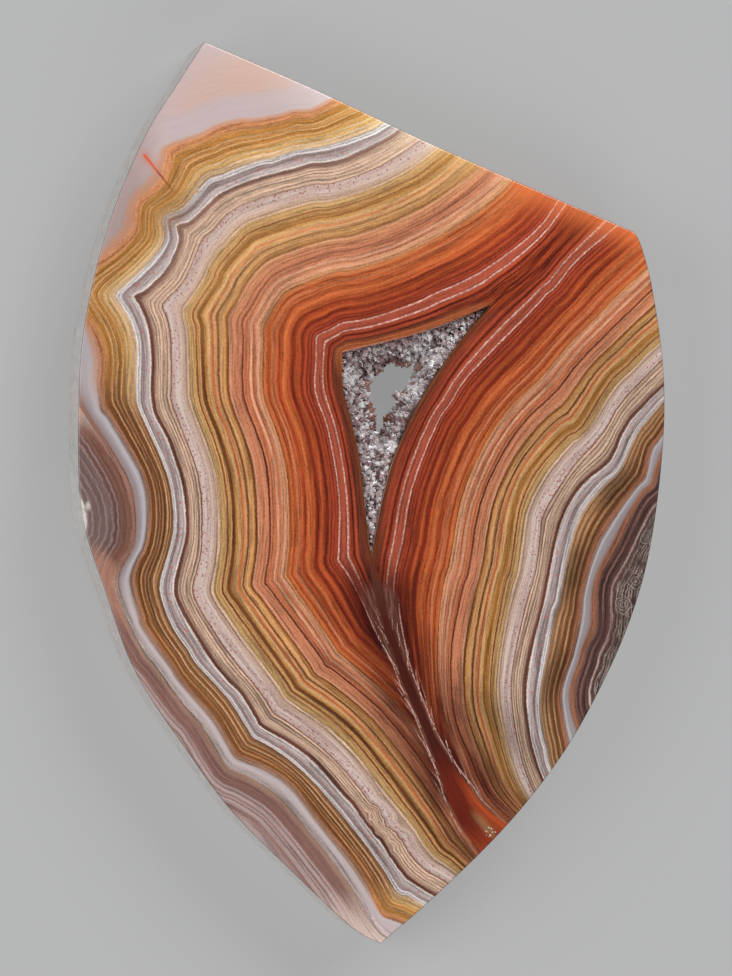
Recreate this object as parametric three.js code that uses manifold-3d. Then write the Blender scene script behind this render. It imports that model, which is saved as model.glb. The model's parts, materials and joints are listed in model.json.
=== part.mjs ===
// Agate slice
// A thin freeform slab of banded agate with a polished face and a sawn back. A three-cornered
// hollow goes through it, and a crust of small quartz crystals lines the hollow and leaves a
// small jagged hole in its middle.
// Millimetres. X runs across the slice, Y along it and Z out of the polished face. The slice
// lies on its flat back, z = 0, and the origin is under the middle of its outline.

import * as THREE from 'three';
import { mergeVertices } from 'three/addons/utils/BufferGeometryUtils.js';
import Module from 'manifold-3d';

const wasm = await Module();
wasm.setup();

// Driving dimensions
const thickness = 5;
const faceChamfer = 0.15; // ground edge round the polished face
const backChamfer = 0.1;
const sideCounts = [52, 50, 26]; // points along the left side, right side and top
const backShrink = 0.94; // the hollow is a little smaller on the back
const hollowMiddle = new THREE.Vector2(1.3, 4.6);

const crustCounts = [16, 22, 12];
const crustGap = 0.04; // between the crust's shell and the wall it grew on
const roomInset = 0.06; // the crust is trimmed this much further in
const crustTrims = [0.12, 0.75, 0.6]; // cut off its edge at the left corner, foot and right tip
const holeTrims = [0.04, 0.04, 0.04];
const crustTop = 4.7; // height of the crust at the wall, face side
const crustBottom = 0.35; // height of the crust at the wall, back side
const crustMiddle = 2.5; // height of the hole's edge
const crustLip = 0.15; // half the thickness at the hole's edge
const crustDrop = 2.1; // how deep the slope of each side would run
const crustSlope = 0.75; // distance from the wall in which most of the drop happens
const crustRings = [0, 0.2, 0.55, 1]; // from the wall to the hole
const sawnTop = 4.85; // crystals are cut off just under the polished face
const sawnBottom = 0.2;

const faceCrystals = { count: 66, spacing: 0.55, radius: [0.22, 0.33], length: [0.1, 0.35], seed: 11 };
const backCrystals = { count: 26, spacing: 0.75, radius: [0.26, 0.38], length: [0.1, 0.3], seed: 29 };
const crystalRoot = 0.2; // length that is sunk in the crust
const crystalTilt = 0.45; // random lean, as a share of the length
const crystalSides = 6;
const shoulderShare = 0.94; // a crystal's radius under its point, over that at its root
const tipShare = 1.15; // height of a crystal's point over its radius
const mostTries = 8000; // places tried for the crystals of one side
const probe = 0.05; // step over the crust, as a share of its width, that gives its slope

const flattestMitre = 0.45; // cosine of the sharpest half turn that a corner is mitred for
const mixer = { factor: 1664525, step: 1013904223, range: 2 ** 32 }; // of the repeatable numbers

// The outline, counter-clockwise seen from the face, from corner to corner
const outlineSides = [
  // long left side, from the top corner down to the foot
  [
    [-8.38, 22.42], [-9.67, 20.42], [-11.4, 17.6], [-13.2, 13.17], [-14.37, 8.25], [-14.66, 4],
    [-14.5, -1], [-13.3, -5], [-11.8, -9], [-9.17, -13], [-6.92, -16], [-3.92, -19],
    [-1, -21.75], [0.5, -22.58],
  ],
  // long right side, from the foot up to the shoulder
  [
    [0.5, -22.58], [3.17, -20.33], [6.58, -17.08], [9.17, -14], [11.08, -11], [13, -7],
    [14.2, -3], [14.87, 2], [14.93, 6], [14.4, 10], [13.82, 12.3], [13.42, 13.1],
  ],
  // straight top side, from the shoulder back to the top corner
  [[13.42, 13.1], [9, 14.92], [3, 17.46], [-3, 20.17], [-8.38, 22.42]],
];

// The hollow's edge in the polished face: left side, right side and top
const hollowSides = [
  [[-1.45, 6.97], [-1.42, 5.25], [-1.08, 3.92], [-0.7, 2.33], [-0.46, 0.75], [-0.27, -1], [0, -3.2]],
  [
    [0, -3.2], [0.42, -1], [0.75, 0.42], [1.17, 1.8], [2, 3.6], [3, 5.35], [4, 6.85], [5, 8.15],
    [6.1, 9.4],
  ],
  [[6.1, 9.4], [4, 8.5], [2, 7.83], [0, 7.33], [-1.45, 6.97]],
];

// The edge of the hole through the crust, before its crystals: the same three sides
const holeSides = [
  [[0.35, 6.35], [-0.05, 5.6], [0.15, 4.5], [0.5, 3.5], [0.85, 2.85]],
  [[0.85, 2.85], [1.25, 3.4], [1.7, 4.1], [2.15, 4.9], [2.6, 5.6], [2.9, 6.35]],
  [[2.9, 6.35], [2.15, 6.75], [1.25, 6.7], [0.35, 6.35]],
];

const agateMaterial = new THREE.MeshStandardMaterial({ color: 0xb4673c, roughness: 0.25, metalness: 0 });
const quartzMaterial = new THREE.MeshStandardMaterial({ color: 0xa9a0a8, roughness: 0.2, metalness: 0 });

// Points along a smooth curve through one side's points, without its last one
function sampleSide(side, count) {
  const curve = new THREE.SplineCurve(side.map(([x, y]) => new THREE.Vector2(x, y)));
  return curve.getSpacedPoints(count).slice(0, count);
}

function sampleLoop(sides, counts) {
  return sides.flatMap((side, i) => sampleSide(side, counts[i]));
}

// A loop of sides that stop short of their corners and stand off to the inner side by a gap
function trimmedLoop(sides, counts, gap, trims) {
  return sides.flatMap((side, k) => {
    const curve = new THREE.SplineCurve(side.map(([x, y]) => new THREE.Vector2(x, y)));
    const start = trims[k] / curve.getLength();
    const end = 1 - trims[(k + 1) % trims.length] / curve.getLength();
    return Array.from({ length: counts[k] + 1 }, (_, i) => {
      const at = THREE.MathUtils.lerp(start, end, i / counts[k]);
      const along = curve.getTangentAt(at);
      return curve.getPointAt(at).addScaledVector(new THREE.Vector2(-along.y, along.x), gap);
    });
  });
}

// A loop moved inwards by a distance, with its corners mitred
function inset(loop, distance) {
  const n = loop.length;
  return loop.map((point, i) => {
    const before = point.clone().sub(loop[(i + n - 1) % n]).normalize();
    const after = loop[(i + 1) % n].clone().sub(point).normalize();
    const leftBefore = new THREE.Vector2(-before.y, before.x);
    const leftAfter = new THREE.Vector2(-after.y, after.x);
    const mitre = leftBefore.add(leftAfter).normalize();
    const stretch = Math.max(flattestMitre, mitre.dot(leftAfter));
    return point.clone().addScaledVector(mitre, distance / stretch);
  });
}

function scaleAbout(loop, middle, factor) {
  return loop.map((point) => point.clone().sub(middle).multiplyScalar(factor).add(middle));
}

// A skin over rings of equal point counts. With capped ends it is a stack between two flat
// faces, and without them the last ring joins the first.
function skin(rings, capped) {
  const n = rings[0].length;
  const positions = rings.flat().flatMap((p) => [p.x, p.y, p.z]);
  const indices = [];
  const bands = capped ? rings.length - 1 : rings.length;
  for (let k = 0; k < bands; k += 1) {
    const lower = k * n;
    const upper = ((k + 1) % rings.length) * n;
    for (let i = 0; i < n; i += 1) {
      const j = (i + 1) % n;
      indices.push(lower + i, lower + j, upper + j, lower + i, upper + j, upper + i);
    }
  }
  if (capped) {
    const last = (rings.length - 1) * n;
    const flat = (ring) => ring.map((p) => new THREE.Vector2(p.x, p.y));
    for (const [a, b, c] of THREE.ShapeUtils.triangulateShape(flat(rings[0]), [])) {
      indices.push(a, c, b);
    }
    for (const [a, b, c] of THREE.ShapeUtils.triangulateShape(flat(rings.at(-1)), [])) {
      indices.push(last + a, last + b, last + c);
    }
  }
  const geometry = new THREE.BufferGeometry();
  geometry.setAttribute('position', new THREE.Float32BufferAttribute(positions, 3));
  geometry.setIndex(indices);
  return geometry;
}

function level(loop, z) {
  return loop.map((p) => new THREE.Vector3(p.x, p.y, z));
}

function toSolid(geometry) {
  const bare = geometry.clone();
  bare.deleteAttribute('normal');
  bare.deleteAttribute('uv');
  const welded = mergeVertices(bare);
  const corners = welded.index.array;
  const kept = [];
  for (let i = 0; i < corners.length; i += 3) {
    const [a, b, c] = [corners[i], corners[i + 1], corners[i + 2]];
    if (a !== b && b !== c && c !== a) {
      kept.push(a, b, c);
    }
  }
  return new wasm.Manifold(new wasm.Mesh({
    numProp: 3,
    vertProperties: new Float32Array(welded.attributes.position.array),
    triVerts: new Uint32Array(kept),
  }));
}

function toGeometry(solid) {
  const mesh = solid.getMesh();
  const geometry = new THREE.BufferGeometry();
  geometry.setAttribute('position', new THREE.BufferAttribute(new Float32Array(mesh.vertProperties), 3));
  geometry.setIndex(new THREE.BufferAttribute(new Uint32Array(mesh.triVerts), 1));
  geometry.computeVertexNormals();
  return geometry;
}

// The loops of the slice. The outline and the hollow have the same three sides and counts.
const outline = sampleLoop(outlineSides, sideCounts);
const hollowFace = sampleLoop(hollowSides, sideCounts);
const hollowBack = scaleAbout(hollowFace, hollowMiddle, backShrink);

// The slab of agate: across the face from the ground edge to the hollow, down the hollow's
// wall, out across the back, and up the side
function makeAgate() {
  return skin([
    level(inset(outline, faceChamfer), thickness),
    level(hollowFace, thickness),
    level(hollowBack, 0),
    level(inset(outline, backChamfer), 0),
    level(outline, backChamfer),
    level(outline, thickness - faceChamfer),
  ], false).toNonIndexed();
}

// The crust's own edge, a little off the hollow's wall, and the room that its crystals keep to
const wallFace = trimmedLoop(hollowSides, crustCounts, crustGap, crustTrims);
const wallBack = scaleAbout(wallFace, hollowMiddle, backShrink);
const roomFace = trimmedLoop(hollowSides, crustCounts, crustGap + roomInset, crustTrims);
const roomBack = scaleAbout(roomFace, hollowMiddle, backShrink);
const hole = trimmedLoop(holeSides, crustCounts, 0, holeTrims);

// The hollow's wall leans evenly from the back loop to the face loop
function wallAt(faceLoop, backLoop, z) {
  const share = THREE.MathUtils.clamp(z / thickness, 0, 1);
  return backLoop.map((p, i) => p.clone().lerp(faceLoop[i], share));
}

function distanceToLoop(point, loop) {
  let nearest = Infinity;
  for (let i = 0; i < loop.length; i += 1) {
    const start = loop[i];
    const along = loop[(i + 1) % loop.length].clone().sub(start);
    const share = THREE.MathUtils.clamp(point.clone().sub(start).dot(along) / along.lengthSq(), 0, 1);
    nearest = Math.min(nearest, start.clone().addScaledVector(along, share).distanceTo(point));
  }
  return nearest;
}

// Height of the crust's surface: steep beside the wall, easing off with the distance from it,
// and drawn to the hole's edge as u goes from 0 at the wall to 1 at the hole
function crustPoint(wall, i, u, side) {
  const flat = wall[i].clone().lerp(hole[i], u);
  const drop = crustDrop * (1 - Math.exp(-distanceToLoop(flat, wall) / crustSlope));
  const slope = side > 0 ? crustTop - drop : crustBottom + drop;
  const edge = crustMiddle + side * crustLip;
  return new THREE.Vector3(flat.x, flat.y, THREE.MathUtils.lerp(slope, edge, u ** 3));
}

function crustRing(wall, u, side) {
  return wall.map((point, i) => crustPoint(wall, i, u, side));
}

// A repeatable stream of numbers from 0 to 1
function seededNumbers(seed) {
  let state = seed;
  return () => {
    state = (state * mixer.factor + mixer.step) % mixer.range;
    return state / mixer.range;
  };
}

// One quartz point: a six-sided column that narrows slightly, with a six-sided tip, along +Y
function crystal(radius, length) {
  const profile = [
    new THREE.Vector2(0, -crystalRoot),
    new THREE.Vector2(radius, -crystalRoot),
    new THREE.Vector2(radius * shoulderShare, length),
    new THREE.Vector2(0, length + radius * tipShare),
  ];
  return new THREE.LatheGeometry(profile, crystalSides);
}

// Crystals scattered over one side of the crust, each leaning off the surface it stands on
function growCrystals(wall, side, { count, spacing, radius, length, seed }) {
  const next = seededNumbers(seed);
  const span = ([low, high]) => low + (high - low) * next();
  const roots = [];
  const solids = [];
  const up = new THREE.Vector3(0, 1, 0);
  for (let tries = 0; tries < mostTries && solids.length < count; tries += 1) {
    const i = Math.floor(next() * wall.length);
    const u = Math.sqrt(next());
    const root = crustPoint(wall, i, u, side);
    if (roots.some((other) => other.distanceTo(root) < spacing)) {
      continue;
    }
    roots.push(root);
    const outer = crustPoint(wall, i, Math.max(0, u - probe), side);
    const inward = crustPoint(wall, i, Math.min(1, u + probe), side).sub(outer);
    const along = crustPoint(wall, (i + 1) % wall.length, u, side).sub(root);
    const lean = new THREE.Vector3(next() - 0.5, next() - 0.5, next() - 0.5);
    lean.multiplyScalar(2 * crystalTilt);
    const direction = along.cross(inward).multiplyScalar(side).normalize().add(lean).normalize();
    const turn = new THREE.Quaternion().setFromUnitVectors(up, direction);
    const spin = new THREE.Quaternion().setFromAxisAngle(up, next() * Math.PI);
    const matrix = new THREE.Matrix4().compose(root, turn.multiply(spin), new THREE.Vector3(1, 1, 1));
    solids.push(toSolid(crystal(span(radius), span(length)).applyMatrix4(matrix)));
  }
  return solids;
}

// The quartz crust: a shell from the wall to the hole's edge on both sides, with its crystals
// grown on, kept inside the hollow and cut off just under the faces
function makeCrust() {
  const faceRings = crustRings.map((u) => crustRing(wallFace, u, 1));
  const backRings = crustRings.toReversed().map((u) => crustRing(wallBack, u, -1));
  let crust = toSolid(skin([...faceRings, ...backRings], false));
  const crystals = [
    ...growCrystals(wallFace, 1, faceCrystals),
    ...growCrystals(wallBack, -1, backCrystals),
  ];
  for (const grown of crystals) {
    crust = crust.add(grown);
  }
  const room = toSolid(skin([
    level(wallAt(roomFace, roomBack, sawnBottom), sawnBottom),
    level(wallAt(roomFace, roomBack, sawnTop), sawnTop),
  ], true));
  return toGeometry(crust.intersect(room));
}

const outlineBox = new THREE.Box2().setFromPoints(outline);
const middle = outlineBox.getCenter(new THREE.Vector2());

const slice = new THREE.Group();
slice.position.set(-middle.x, -middle.y, 0);

const agate = new THREE.Mesh(makeAgate(), agateMaterial);
agate.name = 'agate_slice';
slice.add(agate);

const crust = new THREE.Mesh(makeCrust(), quartzMaterial);
crust.name = 'quartz_druse';
slice.add(crust);

export default slice;
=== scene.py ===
import bpy
import json
import math
import numpy as np
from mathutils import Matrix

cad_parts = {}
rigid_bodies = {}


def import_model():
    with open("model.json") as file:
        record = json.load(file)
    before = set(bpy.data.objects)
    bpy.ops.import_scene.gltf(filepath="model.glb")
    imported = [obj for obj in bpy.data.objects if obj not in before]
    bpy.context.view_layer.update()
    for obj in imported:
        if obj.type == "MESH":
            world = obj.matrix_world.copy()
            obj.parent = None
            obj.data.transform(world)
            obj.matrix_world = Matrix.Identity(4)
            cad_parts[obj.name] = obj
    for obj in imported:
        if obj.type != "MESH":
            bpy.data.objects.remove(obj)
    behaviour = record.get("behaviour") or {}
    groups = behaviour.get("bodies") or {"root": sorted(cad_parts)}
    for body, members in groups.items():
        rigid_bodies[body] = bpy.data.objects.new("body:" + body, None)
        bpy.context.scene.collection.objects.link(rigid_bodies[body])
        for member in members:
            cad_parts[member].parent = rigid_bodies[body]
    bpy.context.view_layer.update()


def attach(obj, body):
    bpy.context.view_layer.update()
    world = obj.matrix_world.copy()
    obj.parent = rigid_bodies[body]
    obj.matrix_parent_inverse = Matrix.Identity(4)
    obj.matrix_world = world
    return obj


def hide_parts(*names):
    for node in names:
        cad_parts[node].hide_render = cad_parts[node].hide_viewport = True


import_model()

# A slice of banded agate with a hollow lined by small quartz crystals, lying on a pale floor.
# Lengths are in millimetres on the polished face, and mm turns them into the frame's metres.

mm = 0.001
photoTilt = 8.5  # the photograph looks in from the west, so many degrees off upright
thickness = 5.0
hollowMiddle = np.array([1.3, 4.6])
backShrink = 0.94  # the hollow is a little smaller on the back

# The outline and the hollow's edge in the face, counter-clockwise: left side, right side, top
outlineSides = [
    """-8.38 22.42, -9.67 20.42, -11.4 17.6, -13.2 13.17, -14.37 8.25, -14.66 4, -14.5 -1, -13.3 -5,
    -11.8 -9, -9.17 -13, -6.92 -16, -3.92 -19, -1 -21.75, 0.5 -22.58""",
    """0.5 -22.58, 3.17 -20.33, 6.58 -17.08, 9.17 -14, 11.08 -11, 13 -7, 14.2 -3, 14.87 2, 14.93 6,
    14.4 10, 13.82 12.3, 13.42 13.1""",
    "13.42 13.1, 9 14.92, 3 17.46, -3 20.17, -8.38 22.42",
]
hollowSides = [
    "-1.45 6.97, -1.42 5.25, -1.08 3.92, -0.7 2.33, -0.46 0.75, -0.27 -1, 0 -3.2",
    "0 -3.2, 0.42 -1, 0.75 0.42, 1.17 1.8, 2 3.6, 3 5.35, 4 6.85, 5 8.15, 6.1 9.4",
    "6.1 9.4, 4 8.5, 2 7.83, 0 7.33, -1.45 6.97",
]
# The jagged edge of the hole through the crust, with the same three sides
holeSides = [
    "0 5.83, -0.2 5.67, -0.08 5.25, 0 4.67, 0.04 3.96, 0.26 3.75, 0.2 3.45, 0.42 3",
    """0.42 3, 0.62 3.15, 0.7 3.6, 0.78 3.95, 1.12 4.04, 1.37 4.33, 1.2 4.83, 1.33 5, 1.8 5.25, 2 5.67,
    2.25 6, 2.2 6.5""",
    "2.2 6.5, 1.92 6.58, 1.8 6.2, 1.2 6.46, 0.83 6.5, 0.67 6.25, 0.33 5.9, 0 5.83",
]
# Guide lines of the banding, by their depth inside the lilac band's outer edge. They run from the
# top of the slice to its foot: the west ones round the left of the hollow, the same lines in the
# east down its right.
westGuides = {
    # outer edge of the lilac band
    0: """-1.5 20.6, -3 19.85, -4.5 19.5, -7 19.25, -8 18.95, -9 18.45, -11 17.9, -11.9 17, -12.8 15.9,
    -13.6 14.3, -15.1 11, -15.2 8, -15 5.6, -14.6 4.3, -12.55 1, -11.93 -1, -12.04 -2.7,
    -12.58 -3.67, -12.79 -4.7, -12 -6.67, -11.25 -8, -10.67 -8.67, -9.33 -10.5, -8.5 -11.42,
    -7.35 -13.3, -6.9 -13.75, -6.2 -14.05, -4.7 -15, -3.5 -16.3, -1.1 -19.4, 0 -21.2, 0.6 -22,
    1.4 -22.6""",
    # inner edge of the lilac band
    0.9: """-0.9 20, -1.8 19.58, -3 18.93, -3.9 18.92, -4.4 18.7, -6 18.38, -6.5 18.4, -7.7 18.08,
    -8.4 17.7, -10.12 17.05, -10.2 16.7, -10.5 15.5, -11 14.9, -11.67 14.33, -11.8 13.2,
    -12.08 12.67, -13 11.83, -14.2 11, -14.9 10.2, -14.8 9.3, -13.92 8, -13.5 6.7, -13.6 5.5,
    -13.5 4.1, -13.17 3.75, -11.6 1.08, -11.2 -0.5, -11.33 -2.5, -11.83 -3.5, -12.04 -4.5,
    -11.58 -6.2, -11.42 -6.75, -10 -8.75, -9.67 -9.33, -7.92 -11.33, -7 -12.9, -6.6 -13.3,
    -5.3 -13.8, -4 -14.7, -2.7 -16.4, -1.1 -18.4, -0.3 -19.6, 0.5 -21.1, 1.1 -21.35, 3 -22""",
    # white double line
    2.8: """1.8 18.7, 0.9 18.33, 0 17.83, -2 17.17, -3.9 16.83, -5 16.42, -5.6 16.33, -7.5 15.58,
    -8.1 15.38, -9.1 14.25, -9.6 13.87, -10.3 13.58, -10.2 13, -10.25 12.33, -11 11.33, -12.5 9.9,
    -12.57 9.67, -12 8.75, -11.58 7.4, -11.62 5, -11.5 4.1, -10.5 1.83, -9.96 0.2, -9.83 -2,
    -10.46 -4.4, -10.37 -5.4, -9.83 -6.75, -9.08 -7.83, -8.75 -8.42, -7.08 -10.25, -5.96 -12,
    -5.67 -12.25, -4.33 -13.08, -2.67 -14.58, -0.42 -17.25, 0.83 -19, 1.42 -19.95, 1.92 -20.08,
    2.42 -20.42, 4 -21.2""",
    # cocoa line behind the red dots
    3.45: """2.2 18.5, 1.4 18.08, 1 17.75, -1 16.7, -2 16.37, -3 16.3, -3.9 16, -5 15.75, -6.6 15.2,
    -7.75 14.58, -9 13.4, -9.67 13.2, -9.54 12.7, -9.67 12.08, -10.2 10.95, -11.25 9.92, -11.8 9.7,
    -11.58 9.42, -11.08 8.1, -10.93 6.3, -10.97 5.3, -10.8 3.9, -10.1 2.58, -9.37 0.2, -9.2 -2,
    -9.5 -3.3, -9.8 -4.8, -9.46 -5.83, -8.08 -8.17, -7.25 -9.25, -6.42 -10.08, -5.67 -11.33,
    -5.42 -11.67, -3.58 -12.75, -2.08 -14.17, 0.42 -17.3, 1.5 -18.83, 2.17 -19.5, 3.8 -20.5""",
    # dotted line in the blush zone
    4.5: """3.2 18.1, 0.5 16.3, -2 15.4, -3.2 15.3, -6.6 14.25, -8 12.95, -8.5 12.5, -9.4 10.5,
    -10.46 9.33, -10.25 8.7, -10.04 7.5, -10.04 5.2, -9.96 4.3, -8.67 0.8, -8.5 -2, -8.62 -3.4,
    -8.96 -4.7, -8.7 -5.67, -7.25 -7.92, -5.58 -10, -4.92 -11, -4.42 -11.33, -2.5 -12.75,
    -1.08 -14.2, 0.5 -16.2, 1.5 -17.25, 2 -18.17, 2.83 -19, 3.33 -19.25, 4.5 -20""",
    # chestnut line inside the straw zone
    6.2: """4.6 17.3, 2.83 15.83, 2 15.33, 0 14.46, -2 13.83, -3 13.7, -5.67 12.8, -6.25 12.4, -7.5 11,
    -7.67 10.5, -8.67 8.96, -8.54 8.2, -8.46 5.8, -8.3 4.4, -7.67 2.8, -7.17 1, -6.93 -1, -6.95 -3,
    -7.17 -4.7, -7 -5.17, -6.58 -5.75, -4.08 -9.25, -3.67 -9.83, -1.83 -11.08, -0.08 -12.83,
    2.75 -16.6, 3.58 -17.83, 4.17 -18.25, 5.3 -19.3""",
    # thin dark line in the salmon zone
    8.2: """6.6 16.4, 5 15, 3 13.67, 1 12.7, -1 12.08, -2 11.96, -4.2 11.2, -5.25 10.5, -6.17 9,
    -6.46 8.5, -6.42 7.5, -6.42 4.8, -5.58 2.5, -5.17 0.6, -5.08 -2.7, -5.33 -4.4, -5 -4.92,
    -2.58 -8.17, -2.29 -8.67, -1.75 -9, 0.5 -10.9, 2.5 -13.35, 4 -15.5, 5.2 -17.6, 6 -18.6""",
    # outer pale line of the brick band
    11.6: """10.4 15.6, 9.5 14.6, 8.25 13, 5.5 11, 3.33 10, 2.33 9.5, 0 8.7, -1.4 8.46, -2 8.12,
    -2.62 7.87, -2.77 7.6, -2.77 6.7, -2.82 5, -2.17 3.1, -1.62 -0.2, -1.65 -3, -1.67 -3.42,
    -1 -4.42, 0 -6.4, 0.6 -7.1, 3.6 -10.1, 7 -14, 9 -17""",
    # edge of the hollow
    13.2: """11.5 15.2, 10 13.1, 8 10.95, 7 10.2, 6.1 9.4, 4 8.5, 2 7.83, 0 7.33, -1.45 6.97,
    -1.42 5.2, -0.7 2.3, -0.27 -1, 0 -3.2, 0.7 -5.2, 2.1 -7, 4.3 -9.2, 7.7 -13.1, 9.7 -16.1""",
}
eastGuides = {
    0: """17 5, 15.6 3.4, 14.58 1.17, 14.37 0.42, 13.83 -0.08, 13.3 -0.9, 12.33 -2.83, 11.42 -4.6,
    11.33 -6.7, 10.83 -7.8, 10.67 -8.5, 10.25 -9.8, 10.33 -11.2, 11 -12.6, 11.6 -13.5""",
    0.9: """16.6 6, 14.87 2.87, 14.33 2.17, 14 0.75, 13.42 0.08, 11.67 -2.42, 10.87 -4.9, 10.7 -6.2,
    10.29 -8.2, 9.75 -9.8, 9.75 -11, 10.3 -14""",
    2.8: """16.4 6.3, 14 3.75, 13.33 2.83, 12.5 1.17, 11.75 0.5, 10.58 -0.92, 9.92 -2.8, 9.42 -5.5,
    9.17 -6.1, 8.54 -9.5, 8.42 -10.8, 8.58 -12.2, 8.77 -12.8, 8.92 -13.7, 9.5 -15""",
    3.45: """16.2 6.6, 13.17 3.67, 12.17 1.67, 10.67 0.42, 9.5 -1.7, 8.67 -5.7, 8.12 -7.7, 7.79 -10,
    8 -12.2, 8.42 -13.8, 9.1 -15.3""",
    4.5: """16.2 8, 13 4.83, 11.83 3, 10.33 1.33, 8.83 -1, 8.62 -2, 8.37 -4, 7.87 -5.7, 7.29 -8.3,
    7.12 -10.3, 7.67 -13.5, 8.7 -16""",
    6.2: """16 9.4, 14.75 8.17, 14 7.58, 13 6.58, 12 5.67, 10.58 3.42, 9.83 3, 8.17 1.17, 7.33 -0.7,
    6.83 -3.8, 6.58 -4.5, 6 -7.7, 5.87 -10.2, 6.18 -11.8, 6.92 -14.33, 7.75 -15.67, 8.6 -16.7""",
    8.2: """15.2 11, 11 7, 9.5 5.17, 8 3.75, 6.75 2.08, 5.5 -0.7, 4.94 -4, 4.67 -4.7, 4.08 -7.7,
    4.08 -10.2, 4.38 -11.8, 5.08 -13.42, 5.42 -14.33, 6.17 -15.58, 8.2 -17.3""",
    11.6: """13.5 14.3, 12.58 13.42, 10.5 11.67, 9.42 10.33, 8.92 9.92, 8 8.92, 5 5.9, 4 4.4,
    3.33 3.42, 2.08 0.2, 1.62 -2.4, 1.29 -3.8, 1.15 -5.2, 1.29 -6.5, 1.75 -8.7, 2.15 -11.5, 3 -14.5,
    4 -17, 5 -19""",
    13.2: """11.5 15.2, 10 13.1, 8 10.95, 6.1 9.4, 4 6.85, 2 3.6, 1.17 1.8, 0.42 -1, -0.05 -4.2,
    0.25 -6.5, 0.8 -8.7, 1.5 -13, 3 -17, 4 -19""",
}
# The two edges of the seam under the hollow, and the line that divides the two systems of bands
seamWest = """0 30, 0 0.5, -0.05 -3.2, 0.01 -4.4, 0.76 -7.2, 1.08 -7.96, 1.6 -9.6, 2.35 -11.25,
    3.38 -13.83, 3.92 -15.5, 4.7 -17.05, 5.27 -17.75, 6.2 -19"""
seamEast = """0 30, 0 0.5, 0.1 -3.2, 0.42 -4.1, 0.7 -5.15, 0.89 -6.28, 1.51 -7.95, 2.99 -11.55,
    3.67 -12.9, 4.56 -14.2, 5.13 -14.9, 5.56 -15.55, 6.77 -16.55, 8 -16.9"""
divide = """14 20, 11.5 15.2, 10 13.1, 8.6 11.5, 8 10.95, 6.1 9.4, 3 6.5, 1.3 3.5, 0.2 -1, 0 -3.2,
    0.46 -5.15, 0.98 -7.2, 1.3 -7.95, 2.3 -10.7, 4.2 -14.7, 5.7 -17, 6.3 -17.6, 7 -18.6"""


# Steps between two points of an outline, of a guide line, and of an edge that glows
fineSpan = 200
guideSpan = 3
edgeSpan = 4
farOut = 60  # well past the slice's edges, in mm
tiny = 1e-12
squareCorners = ((0, 0), (1, 0), (1, 1), (0, 1))
sceneObjects = bpy.context.scene.collection.objects


def unit(vectors):
    return vectors / (np.linalg.norm(vectors, axis=1, keepdims=True) + tiny)


def pointList(text):
    # "x y, x y" as an array of places
    return np.array([[float(word) for word in point.split()] for point in text.split(",")])


def curveThrough(text, perSpan):
    # Cubic through every point: its slope at a point is half the step between the neighbours
    p = pointList(text)
    p = np.vstack([p[:1], p, p[-1:]])
    t = (np.arange(perSpan) / perSpan)[None, :, None]
    before, start, end, after = (p[k:len(p) - 3 + k, None] for k in range(4))
    out = (end - before) / 2
    into = (after - start) / 2
    path = ((2 * start - 2 * end + out + into) * t ** 3
            + (3 * end - 3 * start - 2 * out - into) * t ** 2 + out * t + start)
    return np.vstack([path.reshape(-1, p.shape[1]), p[-1:]])


def evenSteps(path, count):
    # Points at even steps along a path, without its end
    run = np.concatenate([[0], np.cumsum(np.linalg.norm(np.diff(path, axis=0), axis=1))])
    steps = np.arange(count) / count * run[-1]
    return np.stack([np.interp(steps, run, path[:, k]) for k in range(path.shape[1])], axis=-1)


def loopOf(sides, counts):
    # One closed loop: each side is stepped evenly along its curve
    return np.vstack([evenSteps(curveThrough(side, fineSpan), count)
                      for side, count in zip(sides, counts)])


def insetLoop(loop, distance, sharpest=0.45):
    # Every point moves inwards along the halfway direction of its two edges, by the distance
    # over the cosine of half their turn
    before = loop - np.roll(loop, 1, axis=0)
    after = np.roll(loop, -1, axis=0) - loop
    before, left = (unit(edge) @ [[0, 1], [-1, 0]] for edge in (before, after))
    mitre = unit(before + left)
    stretch = np.maximum(sharpest, (mitre * left).sum(axis=1, keepdims=True))
    return loop + mitre * distance / stretch


def distanceTo(line, points):
    # Shortest distance from each point to a line of straight pieces
    nearest = np.full(len(points), np.inf)
    for start, end in zip(line[:-1], line[1:]):
        along = end - start
        share = np.clip((points - start) @ along / (along @ along), 0, 1)
        nearest = np.minimum(nearest, np.hypot(points[:, 0] - start[0] - share * along[0],
                                               points[:, 1] - start[1] - share * along[1]))
    return nearest


def rightOf(line, points):
    # True on the right of a line that runs from the top of the slice to its foot: closed far out
    # on the right it is a polygon, and a level ray from a point inside crosses it oddly often
    far = [(line[-1][0], -farOut), (farOut, -farOut), (farOut, farOut), (line[0][0], farOut)]
    corners = np.vstack([line, far])
    inner = np.zeros(len(points), bool)
    x, y = points.T
    for (xa, ya), (xb, yb) in zip(corners, np.roll(corners, -1, axis=0)):
        if ya != yb:
            inner ^= ((ya > y) != (yb > y)) & (x < (xb - xa) * (y - ya) / (yb - ya) + xa)
    return inner


def signedDistance(line, points):
    # Positive on the right of the line
    return distanceTo(line, points) * np.where(rightOf(line, points), 1, -1)


def ringFaces(rings):
    # Quads between each ring and the next, closed round the rings and from the last to the first
    ring, spot = np.indices(rings.shape[:2])
    return np.stack([(ring + b) % rings.shape[0] * rings.shape[1] + (spot + a) % rings.shape[1]
                     for a, b in squareCorners], axis=-1).reshape(-1, 4)


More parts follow.
